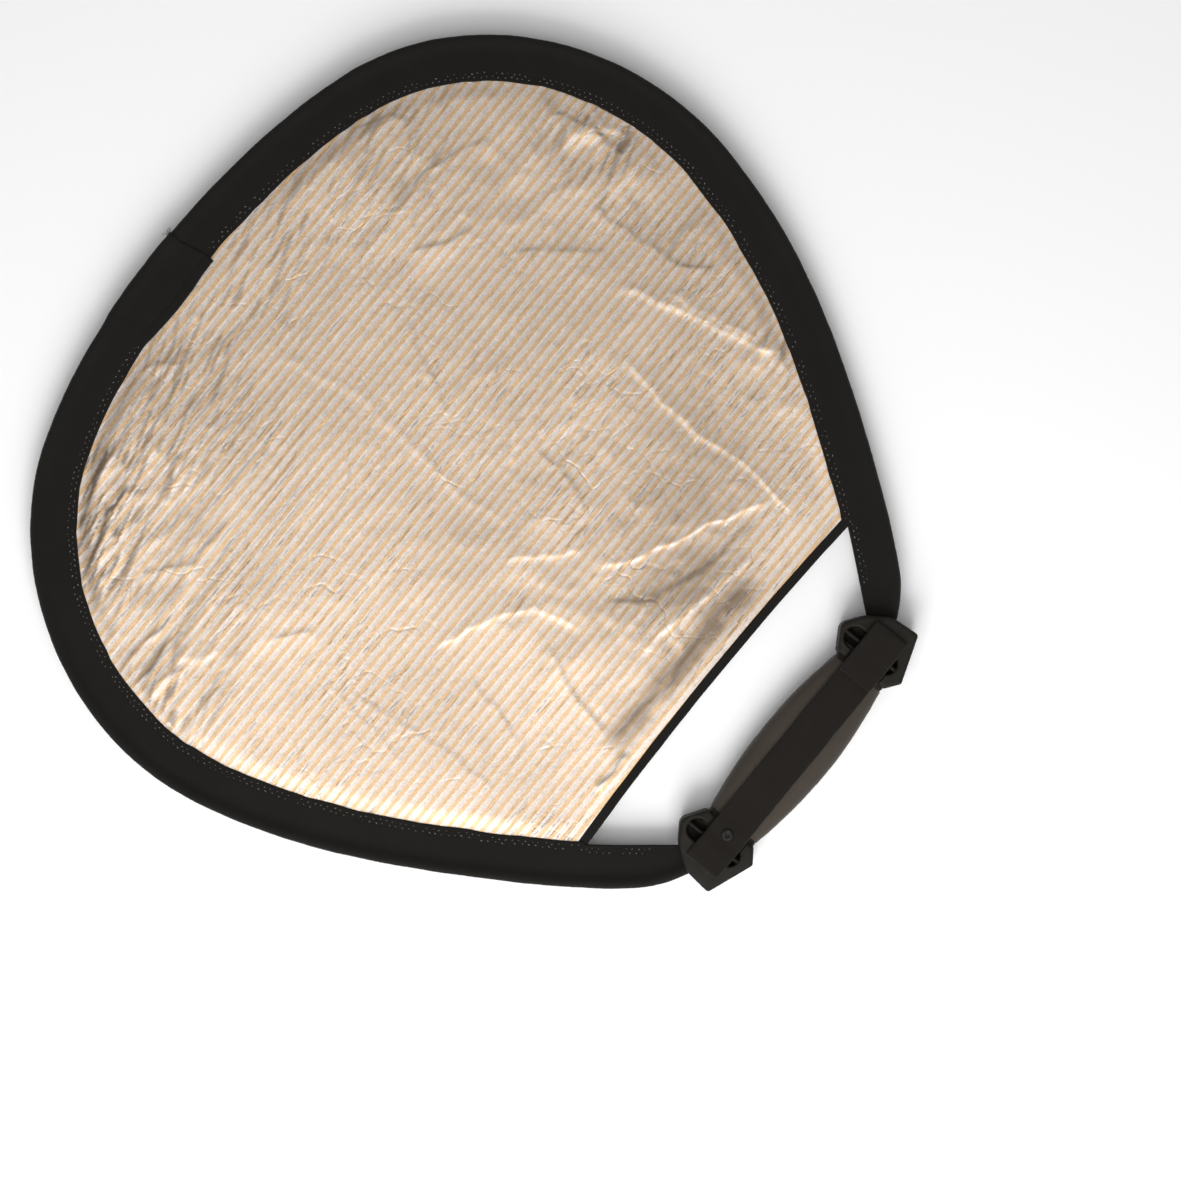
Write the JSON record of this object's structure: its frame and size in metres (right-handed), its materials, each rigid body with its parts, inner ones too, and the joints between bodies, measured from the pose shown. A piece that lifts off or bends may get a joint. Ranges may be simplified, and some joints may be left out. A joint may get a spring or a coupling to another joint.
{
  "type": "collapsible reflector disc",
  "caption": "Collapsible photographic reflector, a spring hoop with a striped gold front and ribbed silver rear panel, black binding and a padded strap-covered hand grip.",
  "frame": {"origin": "centre of the footprint, on the plane the reflector lies on", "axes": "+Z out of the front (striped) face, +X along the grip, +Y from the grip towards the far edge of the disc"},
  "size_m": [0.45, 0.449, 0.0268],
  "materials": {
    "spring_steel": "satin",
    "fittings": "satin",
    "binding": "matt weave",
    "thread": "matt",
    "gold_face": "fine metallic stripes",
    "silver_face": "fine metallic ribs",
    "label": "satin",
    "cap": "fine texture",
    "core": "plain",
    "grip": "soft padded",
    "webbing": "woven",
    "rivet": "satin"
  },
  "bodies": {
    "reflector": {"spring_band": "spring_steel", "band_ferrules": "fittings", "ferrule_rivets": "fittings", "rim_binding": "binding", "binding_lap": "binding", "seam_threads": "thread", "front_panel": "gold_face", "rear_panel": "silver_face", "edge_tape": "binding", "label": "label", "left_cap_front": "cap", "left_cap_rear": "cap", "right_cap_front": "cap", "right_cap_rear": "cap", "grip_core": "core", "grip_sleeve": "grip", "core_screws": "fittings", "strap_bars": "fittings", "front_strap": "webbing", "front_strap_rivet": "rivet", "front_loop_pad": "webbing", "rear_strap": "webbing", "rear_strap_rivet": "rivet", "rear_loop_pad": "webbing"},
    "front_tab_body": {"front_tab": "webbing", "front_hook_pad": "webbing"},
    "rear_tab_body": {"rear_tab": "webbing", "rear_hook_pad": "webbing"}
  },
  "joints": [
    {"name": "front_tab_peel", "type": "hinge", "parent": "reflector", "child": "front_tab_body", "pos_m": [0.0776, -0.20389, 0.0252], "axis": [0, 1, 0], "range_deg": [0, 150]},
    {"name": "rear_tab_peel", "type": "hinge", "parent": "reflector", "child": "rear_tab_body", "pos_m": [-0.0776, -0.20389, 0.0016], "axis": [0, 1, 0], "range_deg": [0, 150]}
  ]
}
